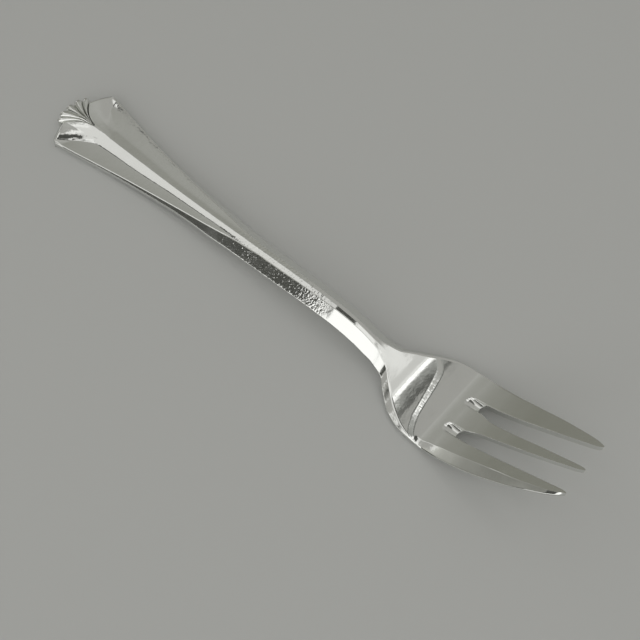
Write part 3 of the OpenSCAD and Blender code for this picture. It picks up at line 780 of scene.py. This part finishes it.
def shell_edge(a):
    base = Vector((lerp(LOBE_BULGE, NOTCH_X, abs(a) ** 2.2),
                   NOTCH_W / 2 * math.sin(math.radians(a * 78)) / math.sin(math.radians(78))))
    way = Vector((-math.cos(math.radians(a * 62)), math.sin(math.radians(a * 62))))
    return base + way * LOBE_BULGE * lobe_arc(a)


def shell_plan(a, t):
    if abs(a) > 0.999:
        p = bezier(Vector((NOTCH_X, NOTCH_W / 2)), Vector((lerp(NOTCH_X, TAIL_X, 0.36), NOTCH_W * 0.1)),
                   Vector((TAIL_X, TAIL_HALF)), t)
        return Vector((p.x, math.copysign(p.y, a)))
    return bezier(shell_edge(a), Vector((lerp(NOTCH_X, TAIL_X, 0.36), NOTCH_W * 0.1 * a)),
                  Vector((TAIL_X, TAIL_HALF * a)), t)


def shell_top(a, t):
    p = shell_plan(a, t)
    bulb = lerp(0.25, 1, math.sqrt(1 - (1 - clamp(t / 0.12)) ** 2))
    rib = RIB_H * (0.1 + 0.95 * lobe_arc(a)) * bulb * (1 - ease((t - 0.55) / 0.45))
    rise = (BORDER_H + BORDER_DROP) * ease((t - 0.4) / 0.6)
    lift = 0.0 if abs(a) > 0.999 else rib + rise * (1 - abs(a))
    return Vector((p.x, p.y, top_z(p.x) - BORDER_DROP + lift))


def shell_under(a, t):
    p = shell_plan(a, t)
    return Vector((p.x, p.y, under_z(p.x) + 0.15))


def build_shell():
    bm = bmesh.new()
    across = []
    for lobe in range(LOBES):
        across += [-1 + (2 * lobe + 1 - math.cos(math.pi * k / 20)) / LOBES for k in range(20)]
    across.append(1.0)
    along = [0, 0.01, 0.025, 0.045, 0.07, 0.1] + spaced(0.14, 1, 0.04)
    n, m = len(across), len(along)
    down = [0, 0.05, 0.3, 0.6, 0.9, 1]
    sheet(bm, n, m, lambda i, k: shell_top(across[i], along[k]))
    sheet(bm, n, m, lambda i, k: shell_under(across[i], along[k]))
    for t in (0, m - 1):
        sheet(bm, n, len(down), lambda i, w, k=t: shell_top(across[i], along[k]).lerp(
            shell_under(across[i], along[k]), down[w]))
    for a in (0, n - 1):
        sheet(bm, m, len(down), lambda k, w, i=a: shell_top(across[i], along[k]).lerp(
            shell_under(across[i], along[k]), down[w]))
    bmesh.ops.remove_doubles(bm, verts=bm.verts, dist=0.0015 * MM)
    bmesh.ops.recalc_face_normals(bm, faces=bm.faces)
    bmesh.ops.translate(bm, verts=bm.verts, vec=(-TIP_X / 2 * MM, 0, 0))
    return bm


finish_piece(build_shell(), "shell", None)
blank.free()

# ---------------------------------------------------------------- floor and light
# A plain pale table, large soft windows above and to the near side, and a dimmer room behind.
# The walls and frames are cards that the polished plate mirrors as its dark and grey bands.
# The end and side walls glow with painted light, brighter towards their tops, and the lamp
# frame and rail with a nearly even painted glow.


def plane(name, width, depth, place, turn, material):
    """A flat card with its face along its own +Z. It belongs to the stage."""
    bm = bmesh.new()
    bmesh.ops.create_grid(bm, x_segments=1, y_segments=1, size=0.5)
    bmesh.ops.scale(bm, verts=bm.verts, vec=(width, depth, 1))
    mesh = bpy.data.meshes.new(name)
    bm.to_mesh(mesh)
    bm.free()
    made = bpy.data.objects.new(name, mesh)
    made.location = place
    made.rotation_euler = [math.radians(angle) for angle in turn]
    mesh.materials.append(material)
    bpy.context.scene.collection.objects.link(made)
    return made


def matt(name, colour):
    """Matt paint or stone: a plain, even tone with no gleam."""
    material = bpy.data.materials.new(name)
    material.use_nodes = True
    shader = material.node_tree.nodes["Principled BSDF"]
    shader.inputs["Base Color"].default_value = linear(colour)
    shader.inputs["Roughness"].default_value = 0.85
    return material


def painted_glow_card(name, low, high, low_painted_glow, high_painted_glow):
    """A wall of a dim room with painted light: an emitting card that glows faintly, and more so towards
    its top.
    """
    material = bpy.data.materials.new(name)
    material.use_nodes = True
    tree = material.node_tree
    tree.nodes.clear()
    place = node(tree, "ShaderNodeTexCoord").outputs["Object"]
    up = node(tree, "ShaderNodeSeparateXYZ", {"Vector": place}).outputs["Y"]
    share = node(tree, "ShaderNodeMapRange", {"Value": up})
    share.inputs["From Min"].default_value = low
    share.inputs["From Max"].default_value = high
    glow = node(tree, "ShaderNodeMix", {"Factor": share.outputs["Result"]}, data_type="RGBA")
    glow.inputs["A"].default_value = linear(low_painted_glow)
    glow.inputs["B"].default_value = linear(high_painted_glow)
    # painted light: the card emits this graded glow itself instead of being lit by the lamps
    shader = node(tree, "ShaderNodeEmission", {"Color": glow.outputs["Result"]})
    node(tree, "ShaderNodeOutputMaterial", {"Surface": shader.outputs["Emission"]})
    return material


plane("floor", 4.0, 4.0, (0, 0, -0.00002), (0, 0, 0), matt("table, pale matt grey", "#C6C7C5"))
# painted light: the end wall glows by itself, brighter towards its top
plane("end wall", 1.9, 2.4, (-1.3, 1.3, 1.2), (90, 0, 90),
      painted_glow_card("wall, dim olive, painted glow", -1.1, 0.9, "#7A7A70", "#B2B2AE"))
wall_grey = matt("wall, dark grey", "#747572")
plane("near wall", 0.65, 0.95, (-0.965, -1.5, 0.775), (90, 0, 0), wall_grey)
# painted light: the side wall glows by itself, brighter towards its top
plane("side wall", 1.6, 1.2, (-1.35, -0.72, 0.95), (90, 0, 90),
      painted_glow_card("wall, mid grey, painted glow", -0.45, 0.45, "#84847E", "#C0C0BA"))
plane("window frame", 0.31, 0.2, (-1.205, 0.24, 1.5), (180, 0, 0),
      matt("window frame, dark grey", "#2A2B2A"))
plane("upper frame", 0.65, 0.64, (-0.225, 0.02, 1.48), (180, 0, 0), wall_grey)
plane("lamp post", 0.08, 0.6, (-0.07, 0.7, 1.48), (180, 0, 0), wall_grey)
# painted light: the lamp frame and rail are no lamps but glow with a nearly even painted light
lamp_frame_painted_glow = painted_glow_card("lamp frame, grey, painted glow", -0.3, 0.3, "#8E8F8B", "#A2A39F")
plane("lamp frame", 0.24, 0.29, (-0.02, 0.545, 1.5), (180, 0, 0), lamp_frame_painted_glow)
plane("lamp rail", 0.36, 0.31, (0.04, 0.845, 1.5), (180, 0, 0), lamp_frame_painted_glow)


def soft_light(name, width, depth, place, turn, power):
    """A rectangular soft light that faces down its own -Z."""
    data = bpy.data.lights.new(name, "AREA")
    data.shape = "RECTANGLE"
    data.size = width
    data.size_y = depth
    data.energy = power
    light = bpy.data.objects.new(name, data)
    light.location = place
    light.rotation_euler = [math.radians(angle) for angle in turn]
    bpy.context.scene.collection.objects.link(light)
    return light


soft_light("overhead window", 1.35, 1.3, (0.225, -0.55, 1.5), (0, 0, 0), 3.1)
soft_light("overhead strip", 1.45, 0.8, (-1.175, -0.3, 1.5), (0, 0, 0), 1.4)
soft_light("upper pane", 0.45, 0.16, (-0.825, 0.18, 1.5), (0, 0, 0), 0.13)
soft_light("corner pane", 0.5, 0.18, (-1.63, 0.19, 1.5), (0, 0, 0), 0.25)
soft_light("near window", 1.7, 0.9, (0.36, -1.2, 0.6), (75, 0, 0), 4.1)
soft_light("low window", 1.6, 0.25, (-0.8, -1.5, 0.16), (90, 0, 0), 0.7)
soft_light("side window", 0.3, 0.4, (-1.3, 0.23, 0.3), (0, -80, 0), 0.16)
soft_light("lamp", 0.4, 0.34, (0.3, 0.52, 1.5), (0, 0, 0), 0.45)
soft_light("far room", 1.2, 0.8, (1.1, 0.6, 1.45), (0, 0, 0), 0.8)
soft_light("far lamp", 0.24, 0.6, (0.6, 0.5, 1.4), (0, 0, 0), 0.1)

world = bpy.data.worlds.new("room")
bpy.context.scene.world = world
world.use_nodes = True
world.node_tree.nodes["Background"].inputs["Color"].default_value = linear("#E4E3DE")
world.node_tree.nodes["Background"].inputs["Strength"].default_value = 0.52

bpy.context.scene.view_settings.view_transform = "Standard"
